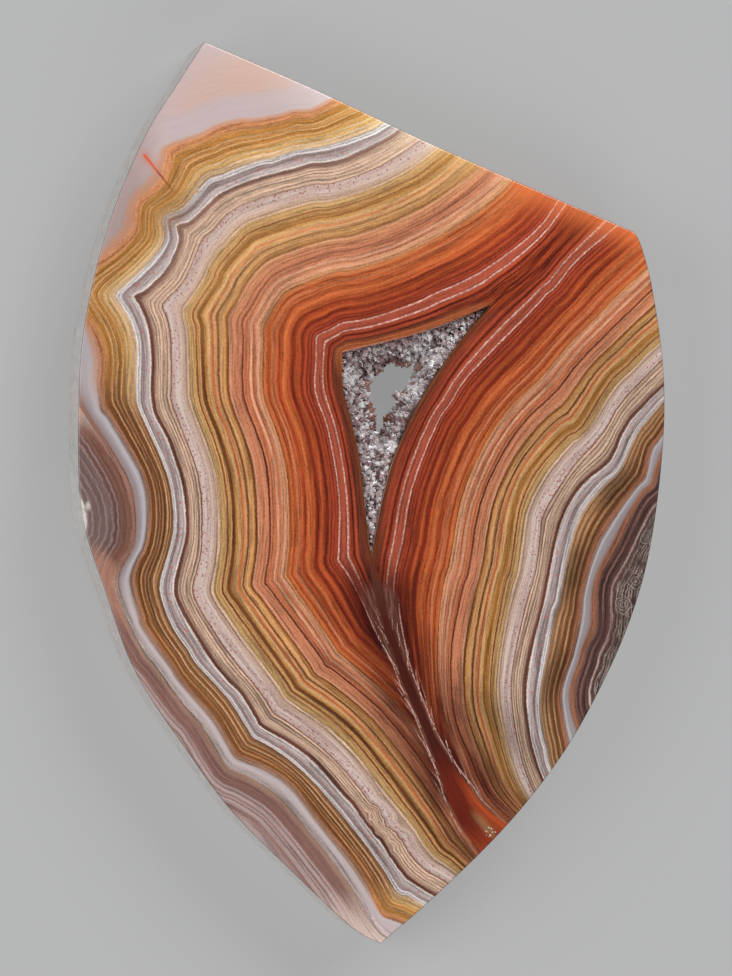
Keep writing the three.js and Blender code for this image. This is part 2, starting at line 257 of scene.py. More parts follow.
def newPiece(name, corners, faces, nodeName, chart, numbers):
    # A mesh with a flat place in the unit square for each face corner, and named numbers for
    # each corner
    mesh = bpy.data.meshes.new(name)
    mesh.from_pydata((corners + [*originShift, 0]) * mm, [], faces)
    mesh.update()
    mesh.uv_layers.new(name="OFBake").data.foreach_set("uv", chart.astype(np.float32).ravel())
    for key, values in numbers.items():
        layer = mesh.attributes.new(key, "FLOAT", "POINT")
        layer.data.foreach_set("value", values.astype(np.float32))
    piece = bpy.data.objects.new(name, mesh)
    sceneObjects.link(piece)
    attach(piece, "root")
    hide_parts(nodeName)
    return piece


def operator(operation, flipped=False):
    # What a sign between signals and numbers stands for
    if flipped:
        return lambda one, other: one.maths(operation, other, one)
    return lambda one, other: one.maths(operation, one, other)


class Signal:
    # One output of a shader node, which can be reckoned with like a number
    def __init__(self, paint, socket):
        self.paint = paint
        self.socket = socket

    def maths(self, operation, first, second=0.0):
        return self.paint.node("ShaderNodeMath", {"operation": operation}, {0: first, 1: second})

    def size(self):
        return self.maths("ABSOLUTE", self)

    def fraction(self):
        return self.maths("FRACT", self)

    def folded(self, pitch):
        return self.maths("PINGPONG", self, pitch)

    def atLeast(self, other):
        return self.maths("MAXIMUM", self, other)

    def ease(self, none, full):
        # Goes softly from 0 at none to 1 at full, whichever is the higher
        return self.paint.node("ShaderNodeMapRange", {"interpolation_type": "SMOOTHSTEP"}, {
            "Value": self, "From Min": none, "From Max": full})

    def within(self, start, full, fade, end):
        # Rises softly from start to full, and falls again from fade to end
        return self.ease(start, full) * self.ease(end, fade)

    __add__ = __radd__ = operator("ADD")
    __mul__ = __rmul__ = operator("MULTIPLY")
    __sub__ = operator("SUBTRACT")
    __rsub__ = operator("SUBTRACT", True)
    __truediv__ = operator("DIVIDE")
    __pow__ = operator("POWER")
    __gt__ = operator("GREATER_THAN")


class Paint:
    # A material and the way to add nodes to it
    def __init__(self, name):
        self.material = bpy.data.materials.new(name)
        self.material.use_nodes = True
        self.tree = self.material.node_tree
        self.shader = self.tree.nodes["Principled BSDF"]

    def node(self, kind, settings, inputs, output=0):
        made = self.tree.nodes.new(kind)
        for key, value in settings.items():
            setattr(made, key, value)
        for key, value in inputs.items():
            self.connect(made.inputs[key], value)
        return Signal(self, made.outputs[output])

    def connect(self, socket, value):
        if isinstance(value, Signal):
            self.tree.links.new(value.socket, socket)
        else:
            socket.default_value = value

    def feed(self, **inputs):
        for key, value in inputs.items():
            self.connect(self.shader.inputs[key.replace("_", " ")], value)

    def number(self, name):
        return self.node("ShaderNodeAttribute", {"attribute_name": name}, {}, "Fac")

    def places(self):
        # The place on the slice in millimetres: x, y and z, and all three as one vector
        place = self.node("ShaderNodeTexCoord", {}, {}, "Object")
        outputs = self.node("ShaderNodeSeparateXYZ", {}, {0: place}).socket.node.outputs
        self.x, self.y, self.z = (Signal(self, output) * (1 / mm) - shift
                                  for output, shift in zip(outputs, [*originShift, 0]))
        self.here = self.vector(self.x, self.y, self.z)
        return self.x, self.y, self.z, self.here

    def vector(self, x, y, z):
        return self.node("ShaderNodeCombineXYZ", {}, {0: x, 1: y, 2: z})

    def noise(self, vector, scale=1.0, detail=2.0, rough=0.5):
        return self.node("ShaderNodeTexNoise", {}, {
            "Vector": vector, "Scale": scale, "Detail": detail, "Roughness": rough}, "Fac")

    def streaks(self, depth, along, across, rough=0.6):
        # Noise drawn out along the bands
        return self.noise(self.vector(self.x * along, self.y * along, depth * across), 1, 2, rough)

    def cells(self, vector, scale):
        return self.node("ShaderNodeTexVoronoi", {}, {"Vector": vector, "Scale": scale}, "Distance")

    def away(self, middle, reach, slope=0.0):
        # Distance from a place, in units of the reach along and across a line that climbs at a slope
        cosine, sine = math.cos(math.radians(slope)), math.sin(math.radians(slope))
        x, y = self.x - middle[0], self.y - middle[1]
        along = x * (cosine / reach[0]) + y * (sine / reach[0])
        across = y * (cosine / reach[1]) - x * (sine / reach[1])
        return (along ** 2 + across ** 2) ** 0.5

    def patch(self, place, fray=None):
        # Full round its middle and gone further out, where fray makes its edge ragged
        x, y, along, across, slope, gone, full = patches[place] if isinstance(place, str) else place
        distance = self.away((x, y), (along, across), slope)
        return (distance + fray if fray else distance).ease(gone, full)

    def patchwork(self, text):
        # One plus the change of each patch, full out to 0.3 of its reach and gone at 1.3
        return 1 + sum(self.patch([*place, 1.3, 0.3]) * change
                       for *place, change in pointList(text).tolist())

    def mix(self, first, second, share, blend="MIX"):
        first, second = (colours[side] if isinstance(side, str) else side for side in (first, second))
        return self.node("ShaderNodeMix", {"data_type": "RGBA", "blend_type": blend}, {
            0: share, 6: first, 7: second}, 2)

    def layers(self, colour, *coats):
        # Coats of other colours, each with the share that it covers
        for coat, share in coats:
            colour = self.mix(colour, coat, share)
        return colour

    def shaded(self, colour, red, green=None, blue=None):
        # A colour times one strength, or times three
        strengths = {0: red, 1: red if green is None else green, 2: red if blue is None else blue}
        return self.mix(colour, self.node("ShaderNodeCombineColor", {}, strengths), 1.0, "MULTIPLY")

    def ramp(self, value, stops):
        # Colours by name, each at its one or two places
        placed = [(place, colours[name]) for name, places in wordList(stops) for place in places]
        low, high = placed[0][0], placed[-1][0]
        made = self.node("ShaderNodeValToRGB", {}, {0: (value - low) * (1 / (high - low))})
        elements = made.socket.node.color_ramp.elements
        while len(elements) < len(placed):
            elements.new(0.5)
        for element, (place, colour) in zip(elements, placed):
            element.position = (place - low) / (high - low)
        for element, (place, colour) in zip(elements, placed):
            element.color = colour
        return made

    def bump(self, height, strength, depth):
        # Relief that is so many millimetres deep
        return self.node("ShaderNodeBump", {}, {
            "Strength": strength, "Distance": depth * mm, "Height": height})


def wordList(text):
    # "name 1 2, other 3" as pairs of a name and its numbers
    entries = [entry.split() for entry in text.split(",")]
    return [(name, [float(word) for word in words]) for name, *words in entries]


def linear(red, green, blue):
    # A screen colour from 0 to 255 as the light that it stands for
    shares = np.array([red, green, blue]) / 255
    light = np.where(shares <= 0.04045, shares / 12.92, ((shares + 0.055) / 1.055) ** 2.4)
    return (*light.tolist(), 1.0)


print("reading the frame and laying out the bands")
fineOutline = loopOf(outlineSides, (520, 500, 260))
originShift = -(fineOutline.min(axis=0) + fineOutline.max(axis=0)) / 2  # from the slice to the frame
facePart, wallPart, backPart, sidePart = range(4)


def bandDepth(guides, points, way):
    # Between two neighbouring guide lines the depth goes from one line's depth to the next's in
    # the ratio of the distances to them. Outside the first it falls by the distance to it. In the
    # east the lines follow each other from right to left, so there the way is -1.
    points = points * [way, 1]
    depths = list(guides)
    lines = [curveThrough(line, guideSpan) * [way, 1] for line in guides.values()]
    distances = [distanceTo(line, points) for line in lines]
    past = [rightOf(line, points) for line in lines]
    found = depths[0] - distances[0]
    for k in range(len(lines) - 1):
        share = distances[k] / (distances[k] + distances[k + 1] + tiny)
        found = np.where(past[k], depths[k] + (depths[k + 1] - depths[k]) * share, found)
    return np.where(past[-1], depths[-1] + distances[-1], found)


agateValues = {
    "around": (262, 250, 128),  # quads along the left side, right side and top
    "faceRows": 84,
    "wallRows": 8,
    "backRows": 28,
    "sideRows": 8,
    "faceChamfer": 0.04,
    "backChamfer": 0.1,
    "nearEdge": 0.006,  # rows this close to an edge, as a share of the way, keep it crisp
    "glowReach": 1.1,  # how far light creeps in from the thin edges
    # The square that the surface is spread out on, and how high the strips and the face lie in it
    "chartSide": 63,
    "chartMargin": 0.4,
    "wallRow": 0.3,
    "secondSideRow": 6.0,
    "firstSideRow": 11.6,
    "faceRow": 17.2,
}


def agateRings(size):
    # Rings of the slab: inwards over the face, down the hollow's wall, outwards over the back and
    # up the side, each a straight mix of the loops at two turns, and the part that each ring starts
    outline = loopOf(outlineSides, size["around"])
    hollow = loopOf(hollowSides, size["around"])
    hollowBack = hollowMiddle + (hollow - hollowMiddle) * backShrink
    faceEdge = insetLoop(outline, size["faceChamfer"])
    backEdge = insetLoop(outline, size["backChamfer"])
    turns = [np.column_stack([loop, np.full(len(loop), height)]) for loop, height in (
        (faceEdge, thickness), (hollow, thickness), (hollowBack, 0), (backEdge, 0),
        (outline, size["backChamfer"]), (outline, thickness - size["faceChamfer"]))]

    def steps(rows):
        inner = np.linspace(0, 1, rows + 1)[1:-1]
        return np.concatenate([[0, size["nearEdge"]], inner, [1 - size["nearEdge"]]])

    halves = np.array([0.0, 0.5])
    shares = [steps(size["faceRows"]), steps(size["wallRows"]), steps(size["backRows"]), halves,
              steps(size["sideRows"]), halves]
    rings = [first + (second - first) * share[:, None, None]
             for first, second, share in zip(turns, turns[1:] + turns[:1], shares)]
    parts = [facePart, wallPart, backPart, sidePart, sidePart, sidePart]
    return np.concatenate(rings), np.repeat(parts, [len(share) for share in shares])


def flatMap(size, rings, parts, faces):
    # Where each face corner lies in the unit square: the face seen from above, the back beside it
    # seen mirrored, the side as two strips under them and the hollow's wall as a third strip
    around = rings.shape[1]
    margin = size["chartMargin"]
    corner = rings[..., :2].min(axis=(0, 1))
    width = rings[..., 0].max() - corner[0]
    steps = np.linalg.norm(np.roll(rings, -1, axis=1) - rings, axis=2)
    run = np.concatenate([np.zeros((len(rings), 1)), np.cumsum(steps, axis=1)], axis=1)
    ring, spot = np.divmod(faces, around)
    part = parts[ring[:, :1]]
    closing = (spot[:, :1] == around - 1) & (spot == 0)  # the corners where a ring closes
    runRing = np.where(part == sidePart, np.argmax(parts == sidePart), np.argmax(parts == wallPart))
    along = run[runRing, np.where(closing, around, spot)]
    second = (part == sidePart) & (spot[:, :1] >= around // 2)
    x, y, z = np.moveaxis(rings[ring, spot] - [*corner, 0], -1, 0)
    u = np.select([part == facePart, part == backPart], [x, 2 * width + 3 * margin - x],
                  along + margin - np.where(second, run[runRing, around // 2], 0))
    stripRow = np.select([part == wallPart, second], [size["wallRow"], size["secondSideRow"]],
                         size["firstSideRow"])
    level = (part == facePart) | (part == backPart)
    v = np.where(level, y + size["faceRow"], z + stripRow)
    return np.stack([u + margin, v], axis=-1) / size["chartSide"]


def makeAgate(size):
    rings, parts = agateRings(size)
    faces = ringFaces(rings)
    spread = rings.reshape(-1, 3)

    # The bands lean with the hollow's wall, so each level reads the pattern a little further out
    lean = backShrink + (1 - backShrink) * spread[:, 2:] / thickness
    points = hollowMiddle + (spread[:, :2] - hollowMiddle) / lean
    partOf = np.repeat(parts, rings.shape[1])
    numbers = {
        "depthWest": bandDepth(westGuides, points, 1),
        "depthEast": bandDepth(eastGuides, points, -1),
        "east": signedDistance(curveThrough(divide, guideSpan), points),
        "seamWest": signedDistance(curveThrough(seamWest, guideSpan), points),
        "seamEast": -signedDistance(curveThrough(seamEast, guideSpan), points),
        "ground": partOf == sidePart,
        "sawn": partOf == backPart,
    }
    # Painted light: the stone is painted lighter near its thin edges, where light creeps in
    for name, side in zip(("leftGlow", "rightGlow", "topGlow"), outlineSides):
        distance = distanceTo(curveThrough(side, edgeSpan), spread[:, :2])
        numbers[name] = np.exp(-distance / size["glowReach"])
    chart = flatMap(size, rings, parts, faces)
    piece = newPiece("agateSlab", spread, faces.tolist(), "agate_slice", chart, numbers)
    piece.data.shade_smooth()
    return piece


colours = {name: linear(*screen) for name, screen in wordList("""lilacRust 138 100 87,
    lilacDeep 143 124 122, lilacGrey 150 140 142, lilacBright 176 168 171, lilacPale 190 176 176,
    comb 134 106 96, combPale 150 118 102, clay 154 108 80, umber 102 60 34, umberLight 118 76 47,
    umberRed 120 67 35, umberGold 132 83 45, fawn 172 126 84, fawnPale 188 148 108, gold 184 130 76,
    goldDeep 172 116 58, goldPale 200 158 110, goldOlive 192 148 84, goldMilk 206 176 144,
    melon 200 146 116, melonDeep 194 130 88, honeyTan 154 118 86, flame 144 92 68,
    flameDark 122 84 70, milk 200 190 186, milkPale 187 168 168, milkGrey 168 152 148,
    whiteLine 204 196 193, mauvePale 164 143 139,
    pearl 178 163 161, ivory 212 200 192, rustPink 134 88 74, cocoa 98 60 48, taupe 164 132 115,
    taupeDark 132 98 84, sand 188 157 134, biscuit 202 170 146, blush 184 156 148, blushPale 193 166 157,
    straw 180 142 94, olive 156 118 72, honey 186 138 86, apricot 192 140 96, salmon 186 118 86,
    russet 177 92 54, terracotta 186 100 55, ember 173 80 42, mahogany 151 62 30, oxblood 121 40 21,
    brick 156 73 53, rosewood 157 65 42, wine 98 30 16, petal 208 165 153, rim 102 46 29,
    edgeGlow 216 112 62, shadowTint 112 66 54, rimAmber 150 80 46, eyeGround 112 88 84,
    eyeLine 136 117 115, eyeWhite 220 214 208, plum 140 105 97, plumDeep 126 90 82, plumPale 172 150 146,
    plumBrown 106 74 66, plumDark 84 57 52, maroon 72 50 47, squiggle 152 138 132, squiggleGround 84 68 62,
    peach 196 163 149, peachGrey 200 176 166, rustPeach 166 120 102, seamBrown 80 42 32, seamDark 70 24 16,
    seamOrange 140 56 28, seamSide 162 68 32, redDot 186 88 72, wineDot 140 58 52, groundEdge 236 233 230,
    groundGrey 206 203 200, backGrey 150 132 118, crack 214 92 50, crackDark 120 52 36,
    quartzDark 116 84 84, quartzDull 186 156 156, quartzPale 228 211 212, quartzLight 250 247 248,
    quartzRoot 140 104 102, quartzHaze 156 126 128, quartzBrown 158 98 76""")}

# Colours across the banding, by depth. The lilac and amber bands look different to the west, low
# in the west, at the top and to the east. Everything further in is much the same all round.
lilacWest = """lilacRust -0.05 0.14, lilacDeep 0.26, lilacGrey 0.42, lilacBright 0.64 0.71, lilacGrey 0.77,
    comb 0.84 0.92, clay 1.0 1.1, umber 1.2 1.4, fawn 1.45 1.49, umberLight 1.53, umber 1.64,
    honeyTan 1.73, umber 1.77, umberLight 1.88, fawn 1.92, umberLight 1.97, umber 2.06, umberLight 2.17,
    fawnPale 2.22 2.27, umberLight 2.32, fawn 2.44, umberLight 2.49 2.6, milkGrey 2.64"""
lilacLow = """milkGrey -0.05 0.16, lilacPale 0.42 0.56, pearl 0.66, combPale 0.78 0.92, clay 1.02 1.14,
    umberGold 1.24, umberRed 1.38, fawn 1.45 1.5, umberGold 1.56, umberRed 1.68, fawn 1.72,
    umberLight 1.78 1.88, fawnPale 1.94 1.99, umberGold 2.05, umberRed 2.2, fawnPale 2.27 2.33,
    umberGold 2.38, honeyTan 2.46, umberLight 2.5 2.6, milkGrey 2.64"""
lilacTop = """milkPale -0.05 0.5, lilacPale 0.68 0.78, melonDeep 0.88 1.06, gold 1.18, goldDeep 1.3 1.42,
    goldPale 1.46, gold 1.52 1.66, goldPale 1.7, goldDeep 1.75 1.88, goldPale 1.93, gold 1.98,
    goldOlive 2.12, goldMilk 2.16, goldOlive 2.22, goldPale 2.34, goldMilk 2.4, goldPale 2.46,
    goldMilk 2.52, goldPale 2.6, milk 2.64"""
lilacEast = """flame -0.05 0.08, lilacRust 0.16, lilacDeep 0.28, lilacGrey 0.45 0.6, lilacBright 0.66 0.76,
    comb 0.84 0.92, flame 1.0 1.15, umberLight 1.22, umber 1.34 1.42, honeyTan 1.5, fawn 1.56,
    umberLight 1.62, umber 1.74, umberLight 1.8, fawn 1.9, honeyTan 1.96, umberLight 2.02 2.1,
    honeyTan 2.18, fawn 2.24, honeyTan 2.3, umberLight 2.38, honeyTan 2.46, milkGrey 2.64"""
innerZones = {
    2.64: """milkGrey 2.64, whiteLine 2.66 2.7, mauvePale 2.74, whiteLine 2.78 2.82,
    lilacDeep 2.87 2.95, mauvePale 3.06, pearl 3.16 3.25, ivory 3.28 3.32, rustPink 3.36,
    cocoa 3.39 3.5, taupeDark 3.54, taupe 3.62 3.65""",
    3.65: """taupe 3.65, sand 3.7, taupeDark 3.73, sand 3.77, biscuit 3.85, taupeDark 3.89,
    biscuit 3.93 4.03, taupeDark 4.07, sand 4.12, biscuit 4.22, taupeDark 4.26, combPale 4.3,
    biscuit 4.36 4.43, flameDark 4.46 4.5, blush 4.55, blushPale 4.62 5.02, biscuit 5.1, blush 5.15,
    sand 5.25, combPale 5.33, biscuit 5.38 5.45""",
    5.45: """biscuit 5.45, olive 5.5, straw 5.55 5.7, olive 5.74, straw 5.78, apricot 5.84,
    umberRed 5.88 5.92, honey 5.98 6.1, umber 6.16 6.29, goldDeep 6.36, honey 6.45, goldPale 6.56,
    apricot 6.62, terracotta 6.7 6.76, apricot 6.81 6.92, umberRed 6.97 7.03, honey 7.08, apricot 7.2,
    goldDeep 7.37, umberRed 7.42 7.49, melon 7.55, salmon 7.65 8.0, salmon 8.12""",
    8.12: """salmon 8.12, rim 8.16 8.21, salmon 8.26, russet 8.34, salmon 8.42, russet 8.5,
    melon 8.56 8.62, salmon 8.66, russet 8.72, salmon 8.78, melon 8.94, salmon 9.01, apricot 9.1,
    mahogany 9.16, terracotta 9.2 9.32, mahogany 9.4, ember 9.47, terracotta 9.54, salmon 9.6,
    ember 9.68, russet 9.8, mahogany 9.86 9.95, ember 10.02, terracotta 10.15, ember 10.28 10.4""",
    10.4: """ember 10.4, oxblood 10.48 10.6, mahogany 10.66, ember 10.78, mahogany 10.89,
    oxblood 10.95 11.03, rosewood 11.1, mahogany 11.18, oxblood 11.25, rosewood 11.32, oxblood 11.38,
    rosewood 11.46, oxblood 11.57, petal 11.59 11.64, brick 11.67 12.05, petal 12.06 12.13,
    brick 12.16, rosewood 12.25, mahogany 12.32, wine 12.37 12.45, rosewood 12.5 12.6, rim 12.68 13.0,
    umberRed 13.2""",
}
# Outside the lilac band the depth is below nought
lilacStart = -0.05
outerWest = """plumPale -2.2, plum -1.75, plumPale -1.65 -1.55, plum -1.48, plumPale -1.4, plum -1.32,
    plumPale -1.22 -1.14, plum -1.05, plumPale -0.98, plum -0.88, plumDeep -0.72, plum -0.6, plumDeep -0.5,
    plum -0.38, combPale -0.26 -0.15, milkGrey -0.05"""
outerEye = """eyeWhite -2.45, eyeLine -2.3, eyeGround -2.15, eyeLine -2.0, eyeGround -1.94 -1.76,
    eyeLine -1.7, eyeGround -1.63 -1.42, eyeLine -1.36, eyeGround -1.29 -1.1, eyeLine -1.03,
    plumBrown -0.96 -0.82, eyeLine -0.75, plumBrown -0.68, flameDark -0.55, plumBrown -0.45,
    flameDark -0.3 -0.15, lilacRust -0.05"""
outerEast = """squiggle -2.2, squiggleGround -2.1 -1.8, squiggle -1.74, squiggleGround -1.67 -1.5,
    squiggle -1.43, squiggleGround -1.36, plumDark -1.22, squiggle -1.15, maroon -1.08, plumBrown -0.95,
    plumPale -0.88, plumBrown -0.82, plumDark -0.72, maroon -0.62, plumDark -0.52, plumDeep -0.45,
    plumDark -0.38, maroon -0.3, plumBrown -0.22, flameDark -0.12, flame -0.05"""
# The same stone with its lines blurred: the lines are softer towards the top
blurred = """milk 2.64, pearl 3.1, taupe 3.5, biscuit 3.8 4.4, blush 4.7, biscuit 5.2, goldPale 5.5,
    honey 5.9 6.3, goldPale 6.8, honey 7.2, apricot 7.6, salmon 8.1, melon 8.6, apricot 9.1,
    terracotta 9.4 10.0, ember 10.4, mahogany 10.9, brick 11.5 13.2"""
seamColours = """seamOrange -18, wine -16.6 -14.5, seamDark -12.5 -6.5, seamBrown -5, rim -3"""


# Patches of the face: middle, reach along and across, slope, and the two distances from the
# middle, in reaches, at which each is gone and full
patches = dict(wordList("""eye -14.3 -0.7 1 1 0 4.4 3, eyeSpark -14.2 -0.7 1 1.7 0 0.2 0.02,
    rustEdge -13.1 -4.6 2.4 0.9 -63 1.1 0.5, melonEdge -14.75 5.2 0.55 2.2 0 1.1 0.5,
    cloud -7.5 20 4.6 2.5 18 1.15 0.35, lowCloud -12.9 13.1 0.9 0.45 68 1.2 0.4,
    sideCloud -11.9 16.2 1.6 0.5 62 1.2 0.4, gold -10.2 13.9 1.6 0.9 50 1.3 0.3,
    swirl 0.6 -16.6 1.43 1 0 2.2 0.7, seamFawn 5.75 -16.7 1.1 0.3 -48 1.2 0.1,
    sparkles 6.1 -16.95 0.4 0.35 0 1.2 0.6, crackFlush -11.2 16.5 0.9 0.5 -51 1.1 0.1"""))
# Places where the face is lighter or darker: middle, reach along and across, slope and change
lightPatches = """6.4 -12.4 4.2 1.9 -52 -0.25, 1.2 -11.8 4.4 1.8 -55 -0.14, -5.2 -7.2 3.6 1.8 -58 0.12,
    8.2 12.2 6 2.6 -24 0.14, -11.4 13.2 4.4 2 58 -0.15, 1.6 -8 2 1 -60 -0.08,
    5.4 11.2 4 1.6 25 0.09, 11.6 5.2 2.6 1.6 60 -0.07, -9.9 14 1.6 0.9 50 -0.1,
    4.3 -15 1.7 1.3 -50 -0.25, 6.6 -11.2 2.4 1 -60 -0.1, 11.4 -10.2 1.8 1 60 0.14"""
# The same for the amber bands in the east, where they change their shade from place to place
amberPatches = """12.5 0.25 1.4 0.65 50 -0.42, 10.35 -3.9 1.85 0.46 70 -0.38, 9.3 -9.4 1.65 0.56 75 -0.35,
    10.6 -1.5 1.65 0.65 60 0.32, 9.7 -6.9 1.5 0.46 75 0.28, 13.9 2.4 1.1 0.56 60 0.1"""
agatePaint = {
    "roughness": 0.16,
    "groundRoughness": 0.3,
    "sawnRoughness": 0.35,
    "chamferRoughness": 0.3,
    "coat": 0.1,
    "relief": 0.04,  # depth of the saw marks and of the ground edge's grain, in mm
    "waver": 0.06,  # how far the fine lines wander, in mm
    "fringe": 0.08,  # how far their edges are frayed
    "swirl": 1.6,  # how far the bands fold near the foot
    "lineContrast": 0.7,
    "dashContrast": 0.95,
    "grainContrast": 0.85,
    "thinLines": 0.42,
    "paleLines": 0.16,
    "darkestLine": 0.52,
    "seamShadow": 0.85,
    "eastEyes": [((14.05, -2.3), 0.36), ((13.5, -4.5), 0.4), ((12.85, -5.7), 0.46)],
    "crackStart": (-11.47, 16.85),
    "crackSlope": -51.1,  # degrees
    "crackLength": 2.65,
}


def outerColour(paint, depth, east, eyes):
    # Outside the lilac band: plum bands in the lower west, grey rings of the eye, a peach cloud
    # at the top, and thin curled lines in the east
    mix, ramp, noise, patch = paint.mix, paint.ramp, paint.noise, paint.patch
    x, y = paint.x, paint.y
    here = paint.vector(x, y, 0)
    wavy = depth + (noise(here, 2.5) - 0.5) * depth.ease(-0.4, -0.9) * 0.22
    outer = paint.layers(
        ramp(depth, outerWest),
        (ramp(wavy, outerEye), patch("eye")),
        ("rustPeach", patch("rustEdge") * 0.8),
        ("lilacGrey", y.ease(2.9, 4.2)),
        ("melon", patch("melonEdge") * 0.75))

    # The cloud fades towards the bands and the left edge, and two rusty ones lie below it
    puff = (noise(here, 0.5) - 0.5) * 0.8
    cloud = patch("cloud", puff) * depth.ease(-0.25, -0.8)
    cloud = cloud * (1 - paint.number("leftGlow") * 0.9)
    rusty = patch("lowCloud", puff) + patch("sideCloud", puff) * 0.6
    pale = paint.layers("milkPale", ("peach", cloud), ("rustPeach", rusty * 0.35))
    outer = paint.layers(outer, (pale, y.ease(8, 10)), ("peachGrey", y.ease(-19.5, -22)))

    squirm = (noise(here, 1.1) - 0.5) * depth.ease(-0.75, -1.2) * 0.5
    curl = (depth + (noise(here, 3, 3, 0.6) - 0.5) * 0.35).folded(0.07)
    curls = mix("maroon", "squiggle", curl.ease(0.025, 0.06) * noise(here, 1.5).ease(0.35, 0.6))
    eastOuter = mix(ramp(depth + squirm, outerEast), curls, depth.ease(-1.0, -1.25) * 0.7)
    for middle, size in eyes:
        gap = paint.away(middle, (size, size)) + (noise(here, 2.3) - 0.5) * 0.9
        rings = mix("squiggleGround", "squiggle", gap.folded(0.18).ease(0.08, 0.16))
        eastOuter = mix(eastOuter, rings, gap.ease(1.1, 0.9) * 0.6)
    return paint.layers(outer, (eastOuter, east), ("eyeWhite", patch("eyeSpark") * 0.7))


def featherLines(paint, gap, height, pitch, offset):
    # Pale hairs that come down to the seam one after another: along each the gap to the seam
    # grows evenly with height, and then starts again at nought
    tooth = (height * (1 / pitch) + offset).fraction()
    reach = tooth * 0.42 + 0.02
    return (gap - reach).size().ease(0.035, 0.008) * tooth.ease(1.0, 0.5)


def seamLayers(paint, colour, depth, east, shade):
    # The dark core under the hollow with white dots painted as glints at its foot, a strip of fibres and a
    # shadow beside it, and pale hairs
    noise, vector, patch = paint.noise, paint.vector, paint.patch
    x, y, z, here = paint.x, paint.y, paint.z, paint.here
    gapWest, gapEast = paint.number("seamWest"), paint.number("seamEast")
    gap = 0 - gapWest * (1 - east) - gapEast * east
    across = gapWest / (gapWest + gapEast + 0.001)

    shadow = gap.ease(2.5, 0.3) * y.ease(-2.8, -5) * (y.ease(-17, -14) * 0.3 + 0.7)
    shadow = shadow * (paint.streaks(depth, 0.2, 1.6) * 2.2 - 0.15)
    colour = paint.mix(colour, "shadowTint", shadow * shade, "MULTIPLY")

    width = y.ease(-9.5, -5) * 0.55 + 0.12
    fibres = noise(vector(gap * 14, y * 0.35, z), 1, 3, 0.7)
    strip = paint.mix("seamBrown", "flameDark", fibres.ease(0.45, 0.65))
    beside = (gap / width).ease(1.0, 0.7) * y.within(-4.2, -5.4, -13, -15.5)
    core = paint.layers(
        paint.ramp(y, seamColours),
        ("seamSide", y.ease(-13.5, -16) * across.ease(0.55, 0.85)),
        ("fawn", patch("seamFawn") * 0.55),
        # Painted glints: white dots near the seam's foot
        ("eyeWhite", paint.cells(here, 5.5).ease(0.34, 0.16) * patch("sparkles")))
    core = paint.shaded(core, noise(vector(across * 7, y * 0.25, z), 1, 3, 0.7) * 1.5 + 0.25)
    inside = gapWest.ease(0, 0.06) * gapEast.ease(0, 0.06)

    bend = y + (noise(here, 0.4) - 0.5) * 2.4
    hairs = featherLines(paint, gap, bend, 2.3, 0.0) + featherLines(paint, gap, bend, 1.4, 0.4)
    border = y.within(-5, -6.5, -16.5, -17.6) * (1 - east) + y.within(-5, -6.5, -15, -16.4) * east
    border = border * (gap - width).size().ease(0.05, 0.015)
    scratch = noise(vector(x * 2, y * 2, across * 3), 2.5, 3, 0.7).ease(0.35, 0.6) * 0.75
    hairs = (border + hairs * y.within(-5.2, -7, -14, -16)) * scratch
    return paint.layers(colour, (strip, beside * 0.8), (core, inside), ("petal", hairs))


def crackLayers(paint, colour, start, slope, length):
    # A healed crack at the top left, and a flush round it: it narrows on its way down
    cosine, sine = math.cos(math.radians(slope)), math.sin(math.radians(slope))
    x, y = paint.x - start[0], paint.y - start[1]
    side = (y * cosine - x * sine).size()
    along = x * cosine + y * sine
    line = (side + along * 0.035).ease(0.14, 0.05) * along.within(0, 0.2, length - 0.35, length)
    red = paint.mix("crack", "crackDark", along.ease(0.9, 1.5))
    return paint.layers(colour, ("crack", paint.patch("crackFlush") * 0.25), (red, line * 0.9))


